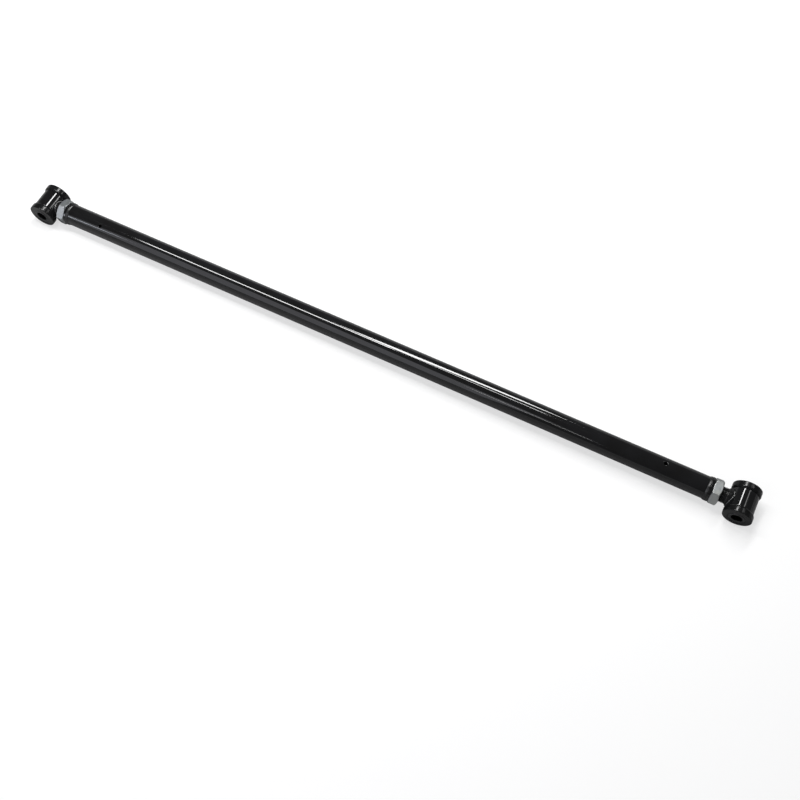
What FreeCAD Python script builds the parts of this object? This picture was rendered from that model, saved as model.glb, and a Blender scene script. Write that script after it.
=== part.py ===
import FreeCAD, Part
import math
import os

# A panhard bar: a straight steel tube with a threaded adapter welded into each end. Each adapter
# carries an adjustable end that a jam nut locks. An end is a threaded stud welded to a short shell,
# and the shell holds two flanged bushings and the steel sleeve that the mounting bolt goes through.
# X runs along the bar, Y along the bolt sleeves and Z up. The origin is midway between the two eyes.
# All sizes are in millimetres and all angles in degrees.

# Stud, with its thread drawn as a plain cylinder of the thread's outer diameter
stud_diameter = 22.225
stud_length = 95.25
stud_chamfer = 1.3
thread_clearance = 0.05
thread_countersink = 0.8

# Tube adapter: an insert inside the tube and a shoulder outside it, which stands proud of the tube
insert_wall = 2.25
insert_length = 50.8
insert_chamfer = 1.0
insert_clearance = 0.05
shoulder_proud = 1.2
shoulder_width = 3.6
shoulder_chamfer = 0.5

# Tube, with one small inspection hole near each end
tube_length = 1020.8
tube_wall = 2.413
hole_diameter = 5.0

# Fillet weld between the adapter's shoulder and the tube
adapter_weld_width = 4.4
adapter_weld_rim_gap = 0.1
adapter_weld_crown = 0.35

# Jam nut
nut_across_flats = 33.34
nut_thickness = 12.3
nut_face_inset = 0.77
nut_chamfer_angle = 30.0

# Shell of the eye, and the weld that joins it to the stud
shell_diameter = 37.0
shell_wall = 3.2
shell_length = 27.6
shell_chamfer = 0.7
stud_weld_leg = 3.2
stud_weld_edge_gap = 0.2
stud_weld_round_share = 0.75

# Flanged bushings, two in each shell
flange_overhang = 1.7
flange_thickness = 9.9
flange_rim_round = 1.2
flange_taper_width = 2.2
flange_taper_depth = 1.0
barrel_clearance = 0.05
barrel_gap = 0.6

# Sleeve
sleeve_diameter = 22.2
sleeve_bore = 16.0
sleeve_proud = 0.4
sleeve_chamfer = 0.4
sleeve_clearance = 0.05

# Each end: its side of the bar, the bare thread between nut and shell, how far its nut is turned, and
# where its inspection hole lies: how far from the tube's end and how far it leans forward from the top
ends = {
    "left": {"side": -1, "bare_thread": 4.35, "nut_turn": 43.0, "hole_from_end": 60.0, "hole_lean": 26.0},
    "right": {"side": 1, "bare_thread": 12.35, "nut_turn": 5.5, "hole_from_end": 65.0, "hole_lean": -5.0},
}

# How far a cutting or trimming solid reaches past the piece that it shapes
reach = 2.0
# How far apart two places may be and still count as the same
same_place = 0.01

# The tube fits round the adapter's insert, which fits round the stud's thread: 31.75 across
stud_radius = stud_diameter / 2
thread_bore_radius = stud_radius + thread_clearance
insert_radius = thread_bore_radius + insert_wall
tube_bore_radius = insert_radius + insert_clearance
tube_radius = tube_bore_radius + tube_wall
shell_radius = shell_diameter / 2
shell_inner_radius = shell_radius - shell_wall
stud_weld_radius = shell_length / 2 - stud_weld_edge_gap
flange_radius = shell_radius + flange_overhang
bare_thread_total = sum(end["bare_thread"] for end in ends.values())
eye_to_eye = (
    tube_length + 2 * (shoulder_width + nut_thickness + shell_radius) + bare_thread_total
)
eye_x = eye_to_eye / 2

x_axis = FreeCAD.Vector(1, 0, 0)
y_axis = FreeCAD.Vector(0, 1, 0)
origin = FreeCAD.Vector(0, 0, 0)


def cylinder_x(radius, start, stop):
    """A cylinder about the X axis, from start to stop."""
    return Part.makeCylinder(radius, stop - start, FreeCAD.Vector(start, 0, 0), x_axis)


def cylinder_at_eye(radius, length):
    """A cylinder about the bolt axis of an eye, centred on the eye."""
    return Part.makeCylinder(radius, length, FreeCAD.Vector(eye_x, -length / 2, 0), y_axis)


def turned_x(outline):
    """A solid turned about the X axis, from the corners (x, radius) of its half section."""
    corners = [FreeCAD.Vector(x, radius, 0) for x, radius in outline]
    section = Part.Face(Part.makePolygon(corners + corners[:1]))
    return section.revolve(origin, x_axis, 360)


def turned_at_eye(outline):
    """A solid turned about an eye's bolt axis, from the corners (y, radius) of its half section."""
    corners = [FreeCAD.Vector(eye_x + radius, y, 0) for y, radius in outline]
    section = Part.Face(Part.makePolygon(corners + corners[:1]))
    return section.revolve(FreeCAD.Vector(eye_x, 0, 0), y_axis, 360)


def nut_outer_x(end):
    """Where the jam nut's outer face lies, measured outwards along the bar."""
    return eye_x - shell_radius - end["bare_thread"]


def adapter_face_x(end):
    """Where the adapter's outer face lies, against the jam nut."""
    return nut_outer_x(end) - nut_thickness


def tube_end_x(end):
    """Where the tube ends, against the adapter's shoulder."""
    return adapter_face_x(end) - shoulder_width


def inspection_hole(end):
    """A round cutter through the upper wall of the tube."""
    lean = math.radians(end["hole_lean"])
    outwards = FreeCAD.Vector(0, -math.sin(lean), math.cos(lean))
    foot = FreeCAD.Vector(end["side"] * (tube_end_x(end) - end["hole_from_end"]), 0, 0)
    return Part.makeCylinder(hole_diameter / 2, tube_radius + reach, foot, outwards)


def bar_tube():
    """The straight tube from one adapter's shoulder to the other's."""
    start = -tube_end_x(ends["left"])
    stop = tube_end_x(ends["right"])
    tube = cylinder_x(tube_radius, start, stop)
    tube = tube.cut(cylinder_x(tube_bore_radius, start - reach, stop + reach))
    for end in ends.values():
        tube = tube.cut(inspection_hole(end))
    return tube


def tube_adapter(end):
    """The threaded adapter: its shoulder covers the tube's end and its insert fills the tube's bore."""
    face = adapter_face_x(end)
    inner = tube_end_x(end) - insert_length
    shoulder_radius = tube_radius + shoulder_proud
    return turned_x([
        (face, thread_bore_radius + thread_countersink),
        (face, shoulder_radius - shoulder_chamfer),
        (face - shoulder_chamfer, shoulder_radius),
        (tube_end_x(end), shoulder_radius),
        (tube_end_x(end), insert_radius),
        (inner + insert_chamfer, insert_radius),
        (inner, insert_radius - insert_chamfer),
        (inner, thread_bore_radius),
        (face - thread_countersink, thread_bore_radius),
    ])


def adapter_weld(end):
    """The bead that fills the corner between the shoulder and the tube, slightly crowned."""
    corner = FreeCAD.Vector(tube_end_x(end), tube_radius, 0)
    top = corner + FreeCAD.Vector(0, shoulder_proud - adapter_weld_rim_gap, 0)
    toe = corner - FreeCAD.Vector(adapter_weld_width, 0, 0)
    slope = (top - toe).normalize()
    middle = (top + toe) * 0.5 + FreeCAD.Vector(-slope.y, slope.x, 0) * adapter_weld_crown
    edges = [
        Part.LineSegment(corner, top).toShape(),
        Part.Arc(top, middle, toe).toShape(),
        Part.LineSegment(toe, corner).toShape(),
    ]
    return Part.Face(Part.Wire(edges)).revolve(origin, x_axis, 360)


def jam_nut(end):
    """A hexagon nut chamfered on both faces, turned so that its corners start at nut_turn."""
    inner = adapter_face_x(end)
    outer = nut_outer_x(end)
    corner_radius = nut_across_flats / 2 / math.cos(math.radians(30))
    corners = []
    for k in range(6):
        turn = math.radians(end["nut_turn"] + 60 * k)
        corners.append(
            FreeCAD.Vector(inner, corner_radius * math.cos(turn), corner_radius * math.sin(turn))
        )
    hexagon = Part.Face(Part.makePolygon(corners + corners[:1])).extrude(x_axis * nut_thickness)
    face_radius = nut_across_flats / 2 - nut_face_inset
    trim_radius = corner_radius + reach
    trim_depth = (trim_radius - face_radius) * math.tan(math.radians(nut_chamfer_angle))
    chamfers = turned_x([
        (inner, 0),
        (inner, face_radius),
        (inner + trim_depth, trim_radius),
        (outer - trim_depth, trim_radius),
        (outer, face_radius),
        (outer, 0),
    ])
    bore = turned_x([
        (inner, 0),
        (inner, thread_bore_radius + thread_countersink),
        (inner + thread_countersink, thread_bore_radius),
        (outer - thread_countersink, thread_bore_radius),
        (outer, thread_bore_radius + thread_countersink),
        (outer, 0),
    ])
    return hexagon.common(chamfers).cut(bore)


def stud():
    """The threaded stud, coped at its outer end to sit on the shell."""
    inner = eye_x - shell_radius - stud_length
    bar = turned_x([
        (inner, 0),
        (inner, stud_radius - stud_chamfer),
        (inner + stud_chamfer, stud_radius),
        (eye_x, stud_radius),
        (eye_x, 0),
    ])
    return bar.cut(cylinder_at_eye(shell_radius, shell_length))


def eye_shell():
    """The short piece of tube that holds the bushings."""
    half = shell_length / 2
    return turned_at_eye([
        (-half, shell_inner_radius),
        (-half, shell_radius - shell_chamfer),
        (-half + shell_chamfer, shell_radius),
        (half - shell_chamfer, shell_radius),
        (half, shell_radius - shell_chamfer),
        (half, shell_inner_radius),
    ])


def on_weld_crest(edge):
    """True for the edge where the weld's two outer faces meet, before it is rounded."""
    for point in edge.discretize(5):
        from_stud_axis = math.hypot(point.y, point.z)
        from_bolt_axis = math.hypot(point.x - eye_x, point.z)
        if abs(from_stud_axis - stud_weld_radius) > same_place:
            return False
        if abs(from_bolt_axis - shell_radius - stud_weld_leg) > same_place:
            return False
    return True


def stud_weld():
    """The bead round the stud, which follows the curve where the stud meets the shell.
    It spreads almost to the shell's edges, and its crest is rounded."""
    around_stud = cylinder_x(stud_weld_radius, eye_x - shell_diameter, eye_x)
    bead = around_stud.common(cylinder_at_eye(shell_radius + stud_weld_leg, shell_length))
    bead = bead.cut(cylinder_at_eye(shell_radius, shell_length))
    bead = bead.cut(cylinder_x(stud_radius, eye_x - shell_diameter, eye_x))
    crest = [edge for edge in bead.Edges if on_weld_crest(edge)]
    smaller_side = min(stud_weld_leg, stud_weld_radius - stud_radius)
    return bead.makeFillet(stud_weld_round_share * smaller_side, crest)


def on_rim(edge, y):
    """True for the round edge where a flange's outer face meets its rim."""
    if not isinstance(edge.Curve, Part.Circle):
        return False
    centre = edge.Curve.Center
    return abs(edge.Curve.Radius - flange_radius) < same_place and abs(centre.y - y) < same_place


def bushing(toward):
    """A flanged bushing; its barrel fills half of the shell. toward is -1 in front and 1 behind."""
    middle = barrel_gap / 2
    seat = shell_length / 2
    face = seat + flange_thickness
    bore_radius = sleeve_diameter / 2 + sleeve_clearance
    barrel_radius = shell_inner_radius - barrel_clearance
    outline = [
        (middle, bore_radius),
        (middle, barrel_radius),
        (seat, barrel_radius),
        (seat, flange_radius - flange_taper_depth),
        (seat + flange_taper_width, flange_radius),
        (face, flange_radius),
        (face, bore_radius),
    ]
    body = turned_at_eye([(toward * y, radius) for y, radius in outline])
    rim = [edge for edge in body.Edges if on_rim(edge, toward * face)]
    return body.makeFillet(flange_rim_round, rim)


def sleeve():
    """The steel sleeve, a little longer than the two bushings, so that the bolt clamps only the sleeve."""
    half = shell_length / 2 + flange_thickness + sleeve_proud
    outer = sleeve_diameter / 2
    inner = sleeve_bore / 2
    return turned_at_eye([
        (-half, inner + sleeve_chamfer),
        (-half, outer - sleeve_chamfer),
        (-half + sleeve_chamfer, outer),
        (half - sleeve_chamfer, outer),
        (half, outer - sleeve_chamfer),
        (half, inner + sleeve_chamfer),
        (half - sleeve_chamfer, inner),
        (-half + sleeve_chamfer, inner),
    ])


def end_pieces(end):
    """The pieces at one end of the bar, drawn for the right side."""
    return {
        "tube_adapter": tube_adapter(end),
        "adapter_weld": adapter_weld(end),
        "jam_nut": jam_nut(end),
        "stud": stud(),
        "stud_weld": stud_weld(),
        "eye_shell": eye_shell(),
        "front_bushing": bushing(-1),
        "rear_bushing": bushing(1),
        "sleeve": sleeve(),
    }


def all_pieces():
    """Every piece by its node's name; the left end's pieces are mirrored to their side."""
    pieces = {"bar_tube": bar_tube()}
    for name, end in ends.items():
        for piece, shape in end_pieces(end).items():
            if end["side"] < 0:
                shape = shape.mirror(origin, x_axis)
            pieces[name + "_" + piece] = shape
    return pieces


os.makedirs("parts", exist_ok=True)
for node, shape in all_pieces().items():
    solid = shape.Solids[0]
    box = solid.BoundBox
    print(node, len(shape.Solids), solid.isValid(), round(solid.Volume, 1),
          [round(v, 2) for v in (box.XMin, box.YMin, box.ZMin, box.XMax, box.YMax, box.ZMax)])
    solid.exportStep("parts/" + node + ".step")
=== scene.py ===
import bpy
import math
import numpy as np
from mathutils import Matrix, Vector


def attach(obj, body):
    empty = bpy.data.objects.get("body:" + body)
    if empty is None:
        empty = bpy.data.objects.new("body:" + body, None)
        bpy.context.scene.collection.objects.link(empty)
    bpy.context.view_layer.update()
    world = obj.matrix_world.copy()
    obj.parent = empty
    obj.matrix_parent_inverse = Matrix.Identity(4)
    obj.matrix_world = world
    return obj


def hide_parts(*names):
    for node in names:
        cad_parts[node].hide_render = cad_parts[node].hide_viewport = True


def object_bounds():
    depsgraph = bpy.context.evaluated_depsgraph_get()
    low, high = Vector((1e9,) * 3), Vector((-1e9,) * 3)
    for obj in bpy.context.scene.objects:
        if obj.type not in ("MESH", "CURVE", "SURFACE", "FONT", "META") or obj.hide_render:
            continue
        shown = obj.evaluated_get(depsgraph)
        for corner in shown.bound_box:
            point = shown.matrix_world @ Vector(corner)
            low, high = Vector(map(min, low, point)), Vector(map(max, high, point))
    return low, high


# Panhard rod. x runs along the bar, y along the bolt sleeves, z up. Shapes are worked out in millimetres
# and put into the meshes in metres.
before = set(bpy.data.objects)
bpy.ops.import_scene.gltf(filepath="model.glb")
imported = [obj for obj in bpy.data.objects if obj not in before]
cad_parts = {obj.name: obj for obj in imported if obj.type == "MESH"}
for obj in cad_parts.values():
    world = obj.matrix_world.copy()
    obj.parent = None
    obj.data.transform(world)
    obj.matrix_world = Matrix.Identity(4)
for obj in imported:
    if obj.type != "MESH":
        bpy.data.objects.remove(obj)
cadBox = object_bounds()
print("frame loaded")

# Places that several pieces share, in millimetres
rod = {
    "eyeX": 553.15,
    "tubeRadius": 15.875,
    "studRadius": 11.1125,
    "shellRadius": 18.5,
    "shellLength": 27.6,
    "nutThickness": 12.3,
    "shoulderWidth": 3.6,
    "bareThread": {"left": 4.35, "right": 12.35},
    "threadPitch": 1.814,  # 14 threads per inch
    "threadFlat": 0.14,  # share of the pitch at crest and root
    "threadRound": 0.35,  # share of the groove's shape that is rounded
}
sides = {"left": -1, "right": 1}


def nutOuterX(side):
    # eye x - shell radius - bare thread
    return rod["eyeX"] - rod["shellRadius"] - rod["bareThread"][side]


def adapterFaceX(side):
    # outer side of the nut - its thickness
    return nutOuterX(side) - rod["nutThickness"]


def tubeEndX(side):
    # adapter's face - width of its shoulder
    return adapterFaceX(side) - rod["shoulderWidth"]


def gridFaces(rows, columns, wrapRows=False, wrapColumns=False):
    # quads between neighbouring points: (r, c), (r, c+1), (r+1, c+1), (r+1, c); on request the last row or column
    # is joined to the first
    r = np.arange(rows if wrapRows else rows - 1)
    c = np.arange(columns if wrapColumns else columns - 1)
    r, c = np.meshgrid(r, c, indexing="ij")
    below, beside = (r + 1) % rows, (c + 1) % columns
    quads = [r * columns + c, r * columns + beside, below * columns + beside, below * columns + c]
    return np.stack(quads, axis=-1).reshape(-1, 4)


def enclosedVolume(points, faces):
    # a sixth of the sum of a . (b x c) over the triangles, above nought when the faces look outwards
    total = 0.0
    for corners in faces:
        for k in range(1, corners.shape[1] - 1):
            a, b, c = points[corners[:, 0]], points[corners[:, k]], points[corners[:, k + 1]]
            total += np.einsum("ij,ij->i", a, np.cross(b, c)).sum() / 6
    return total


def makePiece(name, points, faces, body, node, slot, material):
    # one closed mesh from points in millimetres and arrays of quads or triangles, turned to look outwards
    points = np.asarray(points, float).reshape(-1, 3)
    if enclosedVolume(points, faces) < 0:
        faces = [corners[:, ::-1] for corners in faces]
    mesh = bpy.data.meshes.new(name)
    mesh.vertices.add(len(points))
    mesh.vertices.foreach_set("co", (points * 0.001).astype(np.float32).ravel())
    loops = np.concatenate([corners.ravel() for corners in faces]).astype(np.int32)
    sizes = np.concatenate([np.full(len(corners), corners.shape[1]) for corners in faces])
    starts = (np.cumsum(sizes) - sizes).astype(np.int32)
    mesh.loops.add(len(loops))
    mesh.loops.foreach_set("vertex_index", loops)
    mesh.polygons.add(len(starts))
    mesh.polygons.foreach_set("loop_start", starts)
    mesh.update(calc_edges=True)
    mesh.shade_smooth()
    piece = bpy.data.objects.new(name, mesh)
    bpy.context.scene.collection.objects.link(piece)
    mesh.materials.append(material)
    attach(piece, body)
    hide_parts(node)
    return piece


def roundedLoop(along, radius, bends, steps=5):
    # a closed outline whose corner P becomes the curve (1-t)(1-t) A + 2t(1-t) P + t t B, where A and B lie on
    # the two sides of P at the bend's size; one more point on each side keeps the straight stretch straight
    p = np.stack([np.asarray(along, float), np.asarray(radius, float)])
    if p.ndim == 2:
        p = p[:, :, None]
    before, after = np.roll(p, 1, axis=1) - p, np.roll(p, -1, axis=1) - p
    lengthBefore = np.linalg.norm(before, axis=0)
    lengthAfter = np.linalg.norm(after, axis=0)
    bends = np.asarray(bends, float)[:, None]
    cut = np.minimum(bends, 0.4 * np.minimum(lengthBefore, lengthAfter))
    before, after = before / lengthBefore, after / lengthAfter
    a, b = p + before * cut, p + after * cut
    rows = [a + before * np.minimum(0.35 * cut, 0.05 * lengthBefore)]
    for t in np.linspace(0, 1, steps):
        rows.append((1 - t) ** 2 * a + 2 * t * (1 - t) * p + t ** 2 * b)
    rows.append(b + after * np.minimum(0.35 * cut, 0.05 * lengthAfter))
    loop = np.stack(rows, axis=2).reshape(2, -1, p.shape[2])
    return loop[0], loop[1]


def fillStretch(along, radius, low, high, at, count):
    # adds count evenly spaced rows between the two rows that end the straight stretch from low to high at radius at
    centre = (along[:, 0] + np.roll(along[:, 0], -1)) / 2
    flat = np.abs(radius[:, 0] - at) + np.abs(np.roll(radius[:, 0], -1) - at) < 0.01
    inside = flat & (centre > low) & (centre < high)
    span = np.abs(np.roll(along[:, 0], -1) - along[:, 0])
    k = int(np.argmax(np.where(inside, span, 0)))
    t = np.linspace(0, 1, count + 2)[1:-1, None]
    nextRow = (k + 1) % len(along)
    newAlong = along[k] * (1 - t) + along[nextRow] * t
    newRadius = radius[k] * (1 - t) + radius[nextRow] * t
    return np.insert(along, k + 1, newAlong, axis=0), np.insert(radius, k + 1, newRadius, axis=0)


def turnedAboutBar(side, along, radius, turns):
    # points (side x, r cos a, r sin a) for every row of the outline and every turn a
    along, radius = np.broadcast_arrays(along, radius * np.ones_like(turns)[None, :])
    return np.stack([sides[side] * along, radius * np.cos(turns), radius * np.sin(turns)], axis=-1)


def turnedAboutBolt(side, along, radius, turns):
    # points (eye x + r sin a, y, r cos a) for every row of the outline and every turn a
    along, radius = np.broadcast_arrays(along, radius * np.ones_like(turns)[None, :])
    return np.stack([sides[side] * (rod["eyeX"] + radius * np.sin(turns)), along, radius * np.cos(turns)], axis=-1)


def aroundEvenly(count):
    return np.arange(count) * 2 * math.pi / count


def threadGroove(x, turns):
    # 0 at a crest and 1 at a root of a right-hand helix: how far x / pitch - a / 2 pi is from a whole number, as a
    # straight ramp mixed with its eased form
    phase = x / rod["threadPitch"] - turns / (2 * math.pi)
    away = 2 * np.abs(phase - np.round(phase))
    flat, rounded = rod["threadFlat"], rod["threadRound"]
    ramp = np.clip((away - flat) / (1 - 2 * flat), 0, 1)
    return ramp * ramp * (3 - 2 * ramp) * rounded + ramp * (1 - rounded)


def easeIn(x, start, width):
    # 0 before start, 1 after start + width and t t (3 - 2 t) between
    t = np.clip((x - start) / width, 0, 1)
    return t * t * (3 - 2 * t)


def uneven(turns, seed):
    # a slow wander between about -1 and 1 that closes on itself round the bar: three sines with 3, 7 and 13 waves
    waves = np.sin(3 * turns + seed) + 0.7 * np.sin(7 * turns + 2.3 * seed)
    return (waves + 0.5 * np.sin(13 * turns + 4.1 * seed)) / 1.6


def addNode(material, kind, **inputs):
    node = material.node_tree.nodes.new(kind)
    for name, value in inputs.items():
        socket = node.inputs[name.replace("_", " ")]
        if isinstance(value, bpy.types.NodeSocket):
            material.node_tree.links.new(value, socket)
        else:
            socket.default_value = value
    return node


def calculate(material, operation, first, second=0.0):
    node = material.node_tree.nodes.new("ShaderNodeMath")
    node.operation = operation
    for socket, value in zip(node.inputs, (first, second)):
        if isinstance(value, bpy.types.NodeSocket):
            material.node_tree.links.new(value, socket)
        else:
            socket.default_value = value
    return node.outputs[0]


def noise(material, place, scale, detail=2.0, roughness=0.5):
    node = addNode(material, "ShaderNodeTexNoise", Vector=place, Scale=scale, Detail=detail, Roughness=roughness)
    return node.outputs["Fac"]


def spread(material, value, low, high, start=0.3, stop=0.7):
    # carries the noise's usual range, start to stop, to low to high
    ranges = {"From_Min": start, "From_Max": stop, "To_Min": low, "To_Max": high}
    return addNode(material, "ShaderNodeMapRange", Value=value, **ranges).outputs[0]


def blendColours(material, share, first, second):
    node = material.node_tree.nodes.new("ShaderNodeMix")
    node.data_type = "RGBA"
    material.node_tree.links.new(share, node.inputs["Factor"])
    node.inputs["A"].default_value = (*first, 1)
    node.inputs["B"].default_value = (*second, 1)
    return node.outputs["Result"]


def newFinish(name):
    material = bpy.data.materials.new(name)
    material.use_nodes = True
    shader = material.node_tree.nodes["Principled BSDF"]
    place = material.node_tree.nodes.new("ShaderNodeTexCoord").outputs["Object"]
    return material, shader, place


def setTone(material, shader, share, first, second):
    blend = blendColours(material, share, first, second)
    material.node_tree.links.new(blend, shader.inputs["Base Color"])


def setRoughness(material, shader, share):
    material.node_tree.links.new(share, shader.inputs["Roughness"])


def relief(material, shader, height, distance, strength=1.0, under=None):
    node = addNode(material, "ShaderNodeBump", Height=height, Distance=distance, Strength=strength)
    if under is not None:
        material.node_tree.links.new(under, node.inputs["Normal"])
    material.node_tree.links.new(node.outputs[0], shader.inputs["Normal"])
    return node.outputs[0]


# Finishes. Noise scales are waves per metre; depths and sizes of relief are in metres
coat = {
    "dark": (0.0036, 0.0034, 0.0034), "light": (0.0065, 0.0065, 0.0072), "toneScale": 38, "wearScale": 90,
    "roughness": (0.045, 0.09), "peelSize": 0.0016, "peelDepth": 0.0000011, "ior": 1.48,
}


def powderCoat(name, values):
    material, shader, place = newFinish(name)
    tone = spread(material, noise(material, place, values["toneScale"], 4), 0, 1)
    setTone(material, shader, tone, values["dark"], values["light"])
    wear = noise(material, place, values["wearScale"], 5, 0.6)
    setRoughness(material, shader, spread(material, wear, *values["roughness"]))
    peel = noise(material, place, 1 / values["peelSize"], 1.5)
    relief(material, shader, peel, values["peelDepth"])
    shader.inputs["IOR"].default_value = values["ior"]
    return material


blackCoat = powderCoat("glossBlackCoat", coat)
weldCoat = powderCoat("glossBlackOverWeld", {**coat, "peelDepth": 0.000005, "roughness": (0.10, 0.17)})
dullWeldCoat = powderCoat("satinBlackOverWeld", {**coat, "peelDepth": 0.000004, "roughness": (0.24, 0.34)})
threadBlack = powderCoat("satinBlackThread", {**coat, "roughness": (0.2, 0.32), "peelDepth": 0.000004})

zinc = {
    "cool": (0.36, 0.39, 0.43), "warm": (0.43, 0.43, 0.39), "tintScale": 70,
    "roughness": (0.34, 0.48), "cloudScale": 260,
    "scratchScale": (260, 4200, 4200), "scratchDepth": 0.000006, "dimpleScale": 700, "dimpleDepth": 0.00001,
}


def zincPlate(values):
    material, shader, place = newFinish("brightZincPlate")
    tint = spread(material, noise(material, place, values["tintScale"], 3), 0, 1, 0.1, 0.9)
    setTone(material, shader, tint, values["cool"], values["warm"])
    cloud = noise(material, place, values["cloudScale"], 4, 0.65)
    setRoughness(material, shader, spread(material, cloud, *values["roughness"]))
    shader.inputs["Metallic"].default_value = 1.0
    stretched = addNode(material, "ShaderNodeMapping", Vector=place, Scale=values["scratchScale"]).outputs[0]
    scratches = noise(material, stretched, 1.0, 2)
    dimples = noise(material, place, values["dimpleScale"], 2)
    under = relief(material, shader, dimples, values["dimpleDepth"])
    relief(material, shader, scratches, values["scratchDepth"], 1.0, under)
    return material


zincCoat = zincPlate(zinc)

rubberLike = {
    "dark": (0.003, 0.003, 0.003), "light": (0.0065, 0.0065, 0.007), "toneScale": 55,
    "roughness": (0.15, 0.23), "mattScale": 180, "grainScale": 1400, "grainDepth": 0.000003, "ior": 1.33,
}


def moulded(values):
    material, shader, place = newFinish("smoothBlackPolyurethane")
    tone = spread(material, noise(material, place, values["toneScale"], 4), 0, 1)
    setTone(material, shader, tone, values["dark"], values["light"])
    matt = noise(material, place, values["mattScale"], 4)
    setRoughness(material, shader, spread(material, matt, *values["roughness"]))
    relief(material, shader, noise(material, place, values["grainScale"], 3), values["grainDepth"])
    shader.inputs["IOR"].default_value = values["ior"]
    return material


polyurethane = moulded(rubberLike)

turnedSteel = {
    "dark": (0.045, 0.045, 0.048), "light": (0.085, 0.085, 0.088), "toneScale": 120,
    "roughness": (0.3, 0.42), "mattScale": 300, "feed": 0.0007, "depth": 0.000012,
}


def darkSteel(values):
    material, shader, place = newFinish("darkTurnedSteel")
    tone = spread(material, noise(material, place, values["toneScale"], 4), 0, 1)
    setTone(material, shader, tone, values["dark"], values["light"])
    matt = noise(material, place, values["mattScale"], 4)
    setRoughness(material, shader, spread(material, matt, *values["roughness"]))
    shader.inputs["Metallic"].default_value = 1.0
    # turning marks: fine waves along the sleeve
    along = addNode(material, "ShaderNodeSeparateXYZ", Vector=place).outputs["Y"]
    wave = calculate(material, "SINE", calculate(material, "MULTIPLY", along, 2 * math.pi / values["feed"]))
    relief(material, shader, wave, values["depth"], 0.5)
    return material


sleeveSteel = darkSteel(turnedSteel)
print("finishes made")

tube = {
    "boreRadius": 13.462, "around": 192, "rowStep": 14.0,
    "holeRadius": 2.5, "holeLip": 0.6, "windowColumns": 9, "windowHalf": 4.6, "guard": 1.0,
    "holeFromEnd": {"left": 60.0, "right": 65.0}, "holeLean": {"left": 26.0, "right": -5.0},
}


def outwardAt(turn):
    # (0, -sin a, cos a), which leans from straight up towards the front
    return np.stack([np.zeros_like(turn), -np.sin(turn), np.cos(turn)], axis=-1)


def sidewaysAt(turn):
    # (0, -cos a, -sin a), a quarter turn from outwardAt
    return np.stack([np.zeros_like(turn), -np.cos(turn), -np.sin(turn)], axis=-1)


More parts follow.
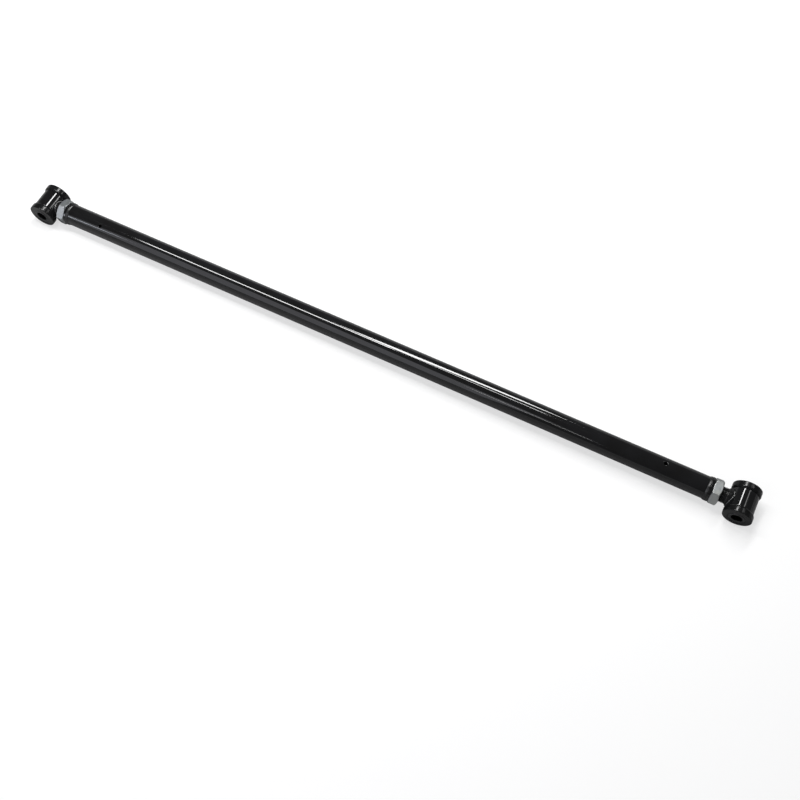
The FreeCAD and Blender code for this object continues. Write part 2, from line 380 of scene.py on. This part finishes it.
def buildTube():
    # outer and inner wall: (x, -r sin a, r cos a) on a grid of x and a. Round each hole a window of that grid is
    # left out and filled with rings that go from its rectangle to the hole's circle, down the hole and back
    start, stop = -tubeEndX("left"), tubeEndX("right")
    step = 2 * math.pi / tube["around"]
    half, window, guard = tube["windowColumns"], tube["windowHalf"], tube["guard"]
    holes = []
    for side, sign in sides.items():
        x = sign * (tubeEndX(side) - tube["holeFromEnd"][side])
        holes.append((x, math.radians(tube["holeLean"][side])))
    windowRows = np.linspace(-window, window, 2 * half + 1)
    holeRows = [x + np.concatenate([[-window - guard], windowRows, [window + guard]]) for x, lean in holes]
    fillers, at = [], start
    for rows in holeRows:
        count = max(2, int((rows[0] - at) / tube["rowStep"]))
        fillers.append(np.linspace(at, rows[0], count, endpoint=False))
        fillers.append(rows[:-1])
        at = rows[-1]
    fillers.append(np.linspace(at, stop, max(2, int((stop - at) / tube["rowStep"]))))
    x = np.sort(np.concatenate([*fillers, [start + guard, stop - guard]]))
    turns = np.arange(tube["around"]) * step
    rows, columns = len(x), len(turns)
    walls = []
    for radius in (rod["tubeRadius"], tube["boreRadius"]):
        wall = outwardAt(turns)[None] * radius + np.stack([x, 0 * x, 0 * x], axis=-1)[:, None]
        walls.append(wall.reshape(-1, 3))
    points = list(walls)
    wallFaces = gridFaces(rows, columns, wrapColumns=True)
    keep = np.ones(len(wallFaces), bool)
    faceRow, faceColumn = np.divmod(np.arange(len(wallFaces)), columns)
    patches = []
    count = 2 * rows * columns
    for holeX, lean in holes:
        firstRow = int(np.argmin(np.abs(x - holeX + window)))
        middle = int(round(lean / step))
        firstColumn = (middle - half) % columns
        gone = (faceRow >= firstRow) & (faceRow < firstRow + 2 * half)
        gone &= ((faceColumn - firstColumn) % columns) < 2 * half
        keep &= ~gone
        run = np.arange(2 * half)
        edgeRow = np.concatenate([0 * run, run, 0 * run + 2 * half, 2 * half - run]) + firstRow
        edgeColumn = (np.concatenate([run, 0 * run + 2 * half, 2 * half - run, 0 * run]) + firstColumn) % columns
        edge = edgeRow * columns + edgeColumn
        away = (edgeColumn * step - lean + math.pi) % (2 * math.pi) - math.pi
        a = x[edgeRow] - holeX
        heading = np.arctan2(rod["tubeRadius"] * np.sin(away), a)
        rings = []

        def addRing(a, b, height):
            # a along the bar, b round it and the height out from the bar's line, at the hole's lean
            leans = np.full(len(a), lean)
            ring = height[:, None] * outwardAt(leans) + b[:, None] * sidewaysAt(leans)
            ring[:, 0] = holeX + a
            rings.append(ring)

        def patchRings(radius, circle, shares):
            # (1 - t) rectangle + t circle, laid on the wall by height = sqrt(r r - b b)
            b = radius * np.sin(away)
            for t in shares:
                ringA = (1 - t) * a + t * circle * np.cos(heading)
                ringB = (1 - t) * b + t * circle * np.sin(heading)
                addRing(ringA, ringB, np.sqrt(radius ** 2 - ringB ** 2))

        hole, lip = tube["holeRadius"], tube["holeLip"]
        patchRings(rod["tubeRadius"], hole + lip, (0.25, 0.5, 0.75, 0.95, 1.0))
        for turn in np.radians([15, 30, 45, 60, 75, 90]):
            size = hole + lip * (1 - math.sin(turn))
            b = size * np.sin(heading)
            addRing(size * np.cos(heading), b, np.sqrt(rod["tubeRadius"] ** 2 - b ** 2) - lip * (1 - math.cos(turn)))
        b = hole * np.sin(heading)
        bottom = np.sqrt(tube["boreRadius"] ** 2 - b ** 2)
        top = np.sqrt(rod["tubeRadius"] ** 2 - b ** 2) - lip
        for t in (0.1, 0.9):
            addRing(hole * np.cos(heading), b, top * (1 - t) + bottom * t)
        patchRings(tube["boreRadius"], hole, (1.0, 0.95, 0.6, 0.3))
        numbers = count + np.arange(len(rings) * len(edge)).reshape(len(rings), len(edge))
        count += numbers.size
        points.append(np.concatenate(rings))
        ladder = np.concatenate([edge[None], numbers, edge[None] + rows * columns])
        beside = np.roll(ladder, -1, axis=1)
        patches.append(np.stack([ladder[:-1], beside[:-1], beside[1:], ladder[1:]], axis=-1).reshape(-1, 4))
    outer = wallFaces[keep]
    inner = wallFaces[keep][:, ::-1] + rows * columns
    ends = []
    for row, turned in ((0, False), (rows - 1, True)):
        ring = row * columns + np.arange(columns)
        following = np.roll(ring, -1)
        strip = np.stack([ring, ring + rows * columns, following + rows * columns, following], axis=-1)
        ends.append(strip[:, ::-1] if turned else strip)
    # the points inside the windows belong to no face and are dropped
    used, faces = np.unique(np.concatenate([outer, inner, *ends, *patches]), return_inverse=True)
    return np.concatenate(points)[used], [faces.reshape(-1, 4)]


tubePoints, tubeFaces = buildTube()
makePiece("barTube", tubePoints, tubeFaces, "bar", "bar_tube", "black_coat", blackCoat)
print("tube built")

adapter = {
    "proud": 1.2, "insertRadius": 13.4125, "boreRadius": 11.1625, "countersink": 0.8,
    "insertLength": 50.8, "insertChamfer": 1.0, "edgeRound": 0.45, "smallRound": 0.2, "sinkRound": 0.15,
    "around": 160, "grooveDepth": 0.5, "rowsInThread": 330,
}
adapterBead = {
    "width": 4.4, "crown": 0.42, "crownWander": 0.25, "ripples": 46, "rippleDepth": 0.08, "rippleBow": 1.3,
    "wander": 0.22, "rimGap": 0.1, "sunk": 0.02, "rowsAcross": 13, "around": 560,
}


def buildAdapter(side):
    # the outline of shoulder, insert and bore turned about the bar; the bore's radius grows by depth x groove
    face, step = adapterFaceX(side), tubeEndX(side)
    deep = step - adapter["insertLength"]
    proud = rod["tubeRadius"] + adapter["proud"]
    bore, sink, insert = adapter["boreRadius"], adapter["countersink"], adapter["insertRadius"]
    slope, small, brink = adapter["insertChamfer"], adapter["smallRound"], adapter["sinkRound"]
    along = [face, face, step, step, deep + slope, deep, deep, face - sink]
    radius = [bore + sink, proud, proud, insert, insert, insert - slope, bore, bore]
    bends = [brink, adapter["edgeRound"], 0.25, small, small, small, small, brink]
    along, radius = roundedLoop(along, radius, bends)
    along, radius = fillStretch(along, radius, deep, face, bore, adapter["rowsInThread"])
    turns = aroundEvenly(adapter["around"])
    groove = threadGroove(sides[side] * along, turns[None])
    inThread = (np.abs(radius - bore) < 0.01) & (along > deep + 0.5) & (along < face - sink)
    fade = easeIn(along, deep + 1.0, 1.5) * (1 - easeIn(along, face - sink - 1.2, 1.0))
    radius = radius + inThread * fade * adapter["grooveDepth"] * groove
    points = turnedAboutBar(side, along, radius, turns)
    return points, [gridFaces(*points.shape[:2], wrapRows=True, wrapColumns=True)]


def buildAdapterBead(side):
    # across: the straight line from the shoulder's rim to the tube plus a crown of 4 v (1 - v), which rises and
    # falls in scallops |sin| round the bar; the toe wanders a little
    turns = aroundEvenly(adapterBead["around"])
    v = np.linspace(0, 1, adapterBead["rowsAcross"])[:, None]
    step, tubeRadius = tubeEndX(side), rod["tubeRadius"]
    toe = step - adapterBead["width"] - adapterBead["wander"] * uneven(turns, 1.0 + sides[side])
    top = tubeRadius + adapter["proud"] - adapterBead["rimGap"] + 0.05 * uneven(turns, 2.6)
    bow = adapterBead["rippleBow"] * (2 * v - 1) ** 2
    scallop = 1 - np.abs(np.sin(adapterBead["ripples"] / 2 * turns + bow + 0.5 * uneven(turns, 5.0)))
    crown = adapterBead["crown"] * (1 + adapterBead["crownWander"] * uneven(turns, 3.7))
    crown = crown - adapterBead["rippleDepth"] * scallop
    along = step * (1 - v) + toe * v
    radius = top * (1 - v) + tubeRadius * v + 4 * v * (1 - v) * crown
    radius[-1] = tubeRadius - adapterBead["sunk"]
    corner = np.full((1, len(turns)), tubeRadius - adapterBead["sunk"])
    along = np.concatenate([along, np.full((1, len(turns)), step)])
    radius = np.concatenate([radius, corner])
    points = turnedAboutBar(side, along, radius, turns)
    return points, [gridFaces(*points.shape[:2], wrapRows=True, wrapColumns=True)]


for side in sides:
    ring, bead = buildAdapter(side), buildAdapterBead(side)
    makePiece(side + "TubeAdapter", *ring, "bar", side + "_tube_adapter", "black_coat", blackCoat)
    makePiece(side + "AdapterWeld", *bead, "bar", side + "_adapter_weld", "black_coat", dullWeldCoat)
print("adapters and their welds built")

nut = {
    "apothem": 16.67, "faceInset": 0.77, "chamferAngle": 30.0, "cornerRound": 0.55,
    "boreRadius": 11.1625, "countersink": 0.8, "cornerTurn": {"left": 43.0, "right": 5.5},
    "grooveDepth": 0.5, "rowsInThread": 90,
}


def buildNut(side):
    # the flats are apothem / cos a away and meet in arcs; at each turn the outline runs up the chamfer to where its
    # cone meets the flat, along the flat and down the other chamfer, then through the bore
    apothem, bend = nut["apothem"], nut["cornerRound"]
    flatEnd = math.atan((apothem - bend) * math.tan(math.pi / 6) / apothem)
    sector = np.concatenate([
        np.linspace(-flatEnd, flatEnd, 27)[1:-1],
        np.array([flatEnd - 0.006, flatEnd]),
        np.linspace(flatEnd, math.pi / 3 - flatEnd, 9)[1:],
        np.array([math.pi / 3 - flatEnd + 0.006]),
    ])
    fromFlat = np.concatenate([sector] * 6)
    turns = fromFlat + np.repeat(np.arange(6) * math.pi / 3, len(sector))
    turns = turns + math.radians(nut["cornerTurn"][side] + 30)
    folded = np.abs((fromFlat + math.pi / 6) % (math.pi / 3) - math.pi / 6)
    cornerCentre = (apothem - bend) / math.cos(math.pi / 6)
    fromCorner = math.pi / 6 - folded
    besideCentre = cornerCentre * np.sin(fromCorner)
    onArc = cornerCentre * np.cos(fromCorner) + np.sqrt(np.maximum(bend ** 2 - besideCentre ** 2, 0))
    hexagon = np.where(folded <= flatEnd + 1e-9, apothem / np.cos(folded), onArc)
    inner, outer = adapterFaceX(side), nutOuterX(side)
    faceRadius = apothem - nut["faceInset"]
    depth = (hexagon - faceRadius) * math.tan(math.radians(nut["chamferAngle"]))
    bore, sink = nut["boreRadius"], nut["countersink"]
    along = [inner, inner + depth, outer - depth, outer, outer, outer - sink, inner + sink, inner]
    radius = [faceRadius, hexagon, hexagon, faceRadius, bore + sink, bore, bore, bore + sink]
    along, radius = [[value * np.ones_like(turns) for value in values] for values in (along, radius)]
    along, radius = roundedLoop(along, radius, [0.3, 0.35, 0.35, 0.3, 0.15, 0.1, 0.1, 0.15])
    along, radius = fillStretch(along, radius, inner, outer, bore, nut["rowsInThread"])
    groove = threadGroove(sides[side] * along, turns[None])
    inThread = (np.abs(radius - bore) < 0.01) & (along > inner + sink) & (along < outer - sink)
    fade = easeIn(along, inner + sink, 0.8) * (1 - easeIn(along, outer - sink - 0.8, 0.8))
    radius = radius + inThread * fade * nut["grooveDepth"] * groove
    points = turnedAboutBar(side, along, radius, turns)
    return points, [gridFaces(*points.shape[:2], wrapRows=True, wrapColumns=True)]


for side in sides:
    makePiece(side + "JamNut", *buildNut(side), side + "_nut", side + "_jam_nut", "zinc_plate", zincCoat)
print("jam nuts built")

stud = {
    "length": 95.25, "chamfer": 1.3, "threadDepth": 1.0, "plainNeck": 3.4, "runIn": 1.2, "runOut": 1.6,
    "around": 64, "rowsPerPitch": 13,
}
studBead = {
    "leg": 3.2, "legWander": 0.05, "spread": 13.6, "spreadWander": 0.08, "crown": 1.05, "crownWander": 0.2,
    "ripples": 30, "rippleDepth": 0.34, "rippleBow": 1.3, "sunk": 0.02, "inside": 0.05,
    "rowsAcross": 15, "around": 480,
}


def shellSurfaceX(radius, turns):
    # where a cylinder of that radius about the bar meets the shell: eye x - sqrt(R R - z z)
    return rod["eyeX"] - np.sqrt(rod["shellRadius"] ** 2 - (radius * np.sin(turns)) ** 2)


def buildStud(side):
    # rows of circles along the bar, cut inwards by a helical thread; the outer rows bend to the shell's curve,
    # and each end closes in rings to a middle point
    turns = aroundEvenly(stud["around"])
    crest, chamfer = rod["studRadius"], stud["chamfer"]
    start = rod["eyeX"] - rod["shellRadius"] - stud["length"]
    neck = rod["eyeX"] - rod["shellRadius"] - stud["plainNeck"]
    inward = np.array([0.25, 0.6, 0.9, 1.0]) * (crest - chamfer)
    capRadius = inward[:, None] * np.ones_like(turns)
    capAlong = np.full_like(capRadius, start)
    slopeRadius = np.linspace(crest - chamfer, crest, 6)[1:, None] * np.ones_like(turns)
    slopeAlong = start + (slopeRadius - crest + chamfer)
    count = int((neck - start - chamfer) / rod["threadPitch"] * stud["rowsPerPitch"])
    body = np.linspace(start + chamfer, neck, count)[1:, None] * np.ones_like(turns)
    fade = easeIn(body, start + chamfer, stud["runIn"]) * (1 - easeIn(body, neck - stud["runOut"], stud["runOut"]))
    groove = threadGroove(sides[side] * body, turns[None])
    bodyRadius = crest - stud["threadDepth"] * groove * fade
    meet = shellSurfaceX(crest, turns)
    t = np.linspace(0, 1, 6)[1:, None]
    neckAlong = neck * (1 - t) + meet * t
    neckRadius = np.full_like(neckAlong, crest)
    endRadius = (np.array([0.9, 0.7, 0.45, 0.2]) * crest)[:, None] * np.ones_like(turns)
    endAlong = shellSurfaceX(endRadius, turns)
    along = np.concatenate([capAlong, slopeAlong, body, neckAlong, endAlong])
    radius = np.concatenate([capRadius, slopeRadius, bodyRadius, neckRadius, endRadius])
    grid = turnedAboutBar(side, along, radius, turns)
    rows, columns = grid.shape[:2]
    middles = np.array([[sides[side] * start, 0, 0], [sides[side] * (rod["eyeX"] - rod["shellRadius"]), 0, 0]])
    points = np.concatenate([grid.reshape(-1, 3), middles])
    quads = gridFaces(rows, columns, wrapColumns=True)
    ring = np.arange(columns)
    first = np.stack([np.full(columns, rows * columns), np.roll(ring, -1), ring], axis=-1)
    last = (rows - 1) * columns + ring
    second = np.stack([np.full(columns, rows * columns + 1), last, np.roll(last, -1)], axis=-1)
    return points, [quads, np.concatenate([first, second])]


def buildStudBead(side):
    # across: from a toe on the stud, leg away from the shell, to a toe on the shell, spread away from the bar's
    # line, as a straight line plus a crown of 4 v (1 - v) that scallops round the stud
    turns = aroundEvenly(studBead["around"])
    v = np.linspace(0, 1, studBead["rowsAcross"])[:, None]
    legWander, spreadWander, studRadius = studBead["legWander"], studBead["spreadWander"], rod["studRadius"]
    studToeX = shellSurfaceX(studRadius, turns) - studBead["leg"] * (1 - legWander - legWander * uneven(turns, 0.7))
    shellToeR = studBead["spread"] - spreadWander - spreadWander * uneven(turns, 2.2)
    shellToeX = shellSurfaceX(shellToeR, turns)
    runX, runR = shellToeX - studToeX, shellToeR - studRadius
    length = np.hypot(runX, runR)
    bow = studBead["rippleBow"] * (2 * v - 1) ** 2
    scallop = 1 - np.abs(np.sin(studBead["ripples"] / 2 * turns + bow + 0.4 * uneven(turns, 4.0)))
    crown = studBead["crown"] * (1 + studBead["crownWander"] * uneven(turns, 1.9)) - studBead["rippleDepth"] * scallop
    rise = 4 * v * (1 - v) * crown
    along = studToeX + v * runX - rise * runR / length
    radius = studRadius + v * runR + rise * runX / length
    cornerX = shellSurfaceX(studRadius, turns)[None]
    along = np.concatenate([along, cornerX + studBead["inside"]])
    radius = np.concatenate([radius, np.full_like(cornerX, studRadius - studBead["sunk"])])
    radius[0] = studRadius - studBead["sunk"]
    points = turnedAboutBar(side, along, radius, turns)
    return points, [gridFaces(*points.shape[:2], wrapRows=True, wrapColumns=True)]


for side in sides:
    makePiece(side + "Stud", *buildStud(side), side + "_end", side + "_stud", "black_coat", threadBlack)
    makePiece(side + "StudWeld", *buildStudBead(side), side + "_end", side + "_stud_weld", "black_coat", weldCoat)
print("studs and their welds built")

eye = {"shellWall": 3.2, "shellEdge": 0.7, "innerEdge": 0.2, "around": 160}
bushing = {
    "flangeRadius": 20.2, "flangeThickness": 9.9, "taperWidth": 2.2, "taperDepth": 1.0, "rimRound": 1.2,
    "boreRadius": 11.15, "gap": 0.6, "clearance": 0.05,
}
sleeve = {"radius": 11.1, "boreRadius": 8.0, "proud": 0.4, "edge": 0.4}


def turnedPiece(side, along, radius, bends, steps=6):
    # an outline with rounded corners, turned about the bolt's line
    along, radius = roundedLoop(along, radius, bends, steps)
    points = turnedAboutBolt(side, along, radius, aroundEvenly(eye["around"]))
    return points, [gridFaces(*points.shape[:2], wrapRows=True, wrapColumns=True)]


def buildShell(side):
    # a ring from the shell's radius down to radius - wall, half its length to each side of the bar
    half, outer = rod["shellLength"] / 2, rod["shellRadius"]
    inner = outer - eye["shellWall"]
    edge, innerEdge = eye["shellEdge"], eye["innerEdge"]
    bends = [innerEdge, edge, edge, innerEdge]
    return turnedPiece(side, [-half, -half, half, half], [inner, outer, outer, inner], bends)


def buildBushing(side, toward):
    # a barrel in the shell and a tapered flange outside it; toward is -1 in front and 1 behind
    middle, seat = bushing["gap"] / 2, rod["shellLength"] / 2
    face = seat + bushing["flangeThickness"]
    barrel = rod["shellRadius"] - eye["shellWall"] - bushing["clearance"]
    rim, bore = bushing["flangeRadius"], bushing["boreRadius"]
    along = [middle, middle, seat, seat, seat + bushing["taperWidth"], face, face]
    radius = [bore, barrel, barrel, rim - bushing["taperDepth"], rim, rim, bore]
    bends = [0.3, 0.4, 0.2, 0.3, 0.6, bushing["rimRound"], 0.25]
    return turnedPiece(side, [toward * y for y in along], radius, bends)


def buildSleeve(side):
    # a ring that ends proud of both flanges
    half = rod["shellLength"] / 2 + bushing["flangeThickness"] + sleeve["proud"]
    outer, inner, edge = sleeve["radius"], sleeve["boreRadius"], sleeve["edge"]
    return turnedPiece(side, [-half, -half, half, half], [inner, outer, outer, inner], [edge] * 4)


for side in sides:
    end, black = side + "_end", ("bushing_black", polyurethane)
    makePiece(side + "EyeShell", *buildShell(side), end, side + "_eye_shell", "black_coat", blackCoat)
    makePiece(side + "FrontBushing", *buildBushing(side, -1), end, side + "_front_bushing", *black)
    makePiece(side + "RearBushing", *buildBushing(side, 1), end, side + "_rear_bushing", *black)
    body, node = side + "_bolt_sleeve", side + "_sleeve"
    makePiece(side + "BoltSleeve", *buildSleeve(side), body, node, "sleeve_steel", sleeveSteel)
print("eyes built")

studio = {
    "floorSize": 400.0, "floorColour": (0.36, 0.36, 0.36), "floorGlow": 0.63, "panelsFace": (-0.2, 0, 0),
    "worldColour": (0.96, 0.98, 1.0), "worldTop": 0.15, "worldHorizon": 0.68, "horizonHeight": 0.2,
    "lamps": {
        # centre, size along x and y, turn about the upright, and radiance of the lamps that look straight down
        "overheadStrip": ((-0.76, 0.10, 1.6), (0.86, 0.18), 3.0, 30.0),
        "overheadShort": ((-0.10, 0.36, 1.6), (0.50, 0.09), 0.0, 26.0),
        "rearStrip": ((-0.17, 1.04, 1.6), (0.24, 1.44), -20.0, 29.0),
        "rearRight": ((1.05, 0.86, 1.6), (0.20, 0.50), 0.0, 4.0),
        "rearFar": ((1.37, 1.08, 1.6), (0.30, 0.10), 0.0, 20.0),
    },
    "panels": {
        # centre, size across and up, radiance and colour of the panels that look at the bar
        "frontPanel": ((-0.75, -1.60, 1.08), (1.64, 1.70), 1.35, (0.93, 0.93, 1.0)),
        "frontEdgeLeft": ((-1.62, -1.72, 0.80), (0.05, 1.10), 10.0, (0.85, 0.9, 1.0)),
        "frontEdgeRight": ((0.08, -1.53, 1.29), (0.44, 0.05), 12.0, (1.0, 1.0, 1.0)),
    },
}


def buildFloor():
    # the floor's glow makes it look pale to the camera without lighting the bar or showing in its gloss
    half, low = studio["floorSize"] / 2, cadBox[0].z
    mesh = bpy.data.meshes.new("floor")
    corners = [(-half, -half, low), (half, -half, low), (half, half, low), (-half, half, low)]
    mesh.from_pydata(corners, [], [(0, 1, 2, 3)])
    floor = bpy.data.objects.new("floor", mesh)
    bpy.context.scene.collection.objects.link(floor)
    material, shader, _ = newFinish("paleFloor")
    shader.inputs["Base Color"].default_value = (*studio["floorColour"], 1)
    shader.inputs["Roughness"].default_value = 1.0
    shader.inputs["Emission Color"].default_value = (1, 1, 1, 1)
    seen = addNode(material, "ShaderNodeLightPath").outputs["Is Camera Ray"]
    glow = calculate(material, "MULTIPLY", seen, studio["floorGlow"])
    material.node_tree.links.new(glow, shader.inputs["Emission Strength"])
    mesh.materials.append(material)


def areaLamp(name, centre, size, radiance, facing):
    # a rectangle that faces the given point; its power is radiance times its area times pi
    lamp = bpy.data.lights.new(name, "AREA")
    lamp.shape = "RECTANGLE"
    lamp.size, lamp.size_y = size
    lamp.energy = radiance * size[0] * size[1] * math.pi
    holder = bpy.data.objects.new(name, lamp)
    bpy.context.scene.collection.objects.link(holder)
    holder.matrix_world = Matrix.Translation(centre) @ facing.to_4x4()
    holder.visible_camera = False
    return holder


def facingDown(turn):
    # straight down, turned about the upright
    return Matrix.Rotation(math.radians(turn), 3, "Z")


def facingPoint(centre, target):
    # the lamp's back looks along centre - target, its width stays level
    away = (Vector(centre) - Vector(target)).normalized()
    across = Vector((0, 0, 1)).cross(away).normalized()
    return Matrix((across, away.cross(across), away)).transposed()


buildFloor()
for name, (centre, size, turn, radiance) in studio["lamps"].items():
    areaLamp(name, centre, size, radiance, facingDown(turn))
for name, (centre, size, radiance, colour) in studio["panels"].items():
    areaLamp(name, centre, size, radiance, facingPoint(centre, studio["panelsFace"])).data.color = colour

world = bpy.data.worlds.new("studioWorld")
bpy.context.scene.world = world
world.use_nodes = True
background = world.node_tree.nodes["Background"]
background.inputs["Color"].default_value = (*studio["worldColour"], 1)
# brighter near the horizon, dimmer above: the strength falls with the height of the direction looked in
direction = addNode(world, "ShaderNodeTexCoord").outputs["Generated"]
height = addNode(world, "ShaderNodeSeparateXYZ", Vector=direction).outputs["Z"]
fall = spread(world, height, studio["worldHorizon"], studio["worldTop"], 0.0, studio["horizonHeight"])
world.node_tree.links.new(fall, background.inputs["Strength"])

view = {
    "focal": 1076.21, "frame": 800, "sensor": 36, "reach": 200,
    "place": (0.375438, -0.672189, 1.340347), "yaw": 0.45684, "pitch": -1.10257, "roll": -0.0015,
}


def buildCamera():
    # looks along (-sin yaw cos pitch, cos yaw cos pitch, sin pitch); focal length in pixels over an 800 pixel frame
    yaw, pitch, roll = view["yaw"], view["pitch"], view["roll"]
    ahead = Vector((-math.sin(yaw) * math.cos(pitch), math.cos(yaw) * math.cos(pitch), math.sin(pitch)))
    level = Vector((math.cos(yaw), math.sin(yaw), 0))
    down = ahead.cross(level)
    across = level * math.cos(roll) + down * math.sin(roll)
    below = down * math.cos(roll) - level * math.sin(roll)
    camera = bpy.data.cameras.new("photoView")
    camera.sensor_width = view["sensor"]
    camera.lens = view["sensor"] * view["focal"] / view["frame"]
    camera.clip_end = view["reach"]
    holder = bpy.data.objects.new("photoView", camera)
    bpy.context.scene.collection.objects.link(holder)
    turned = Matrix((across, -below, -ahead)).transposed().to_4x4()
    holder.matrix_world = Matrix.Translation(view["place"]) @ turned
    bpy.context.scene.camera = holder


buildCamera()
bpy.context.scene.view_settings.view_transform = "Standard"
print("studio set")
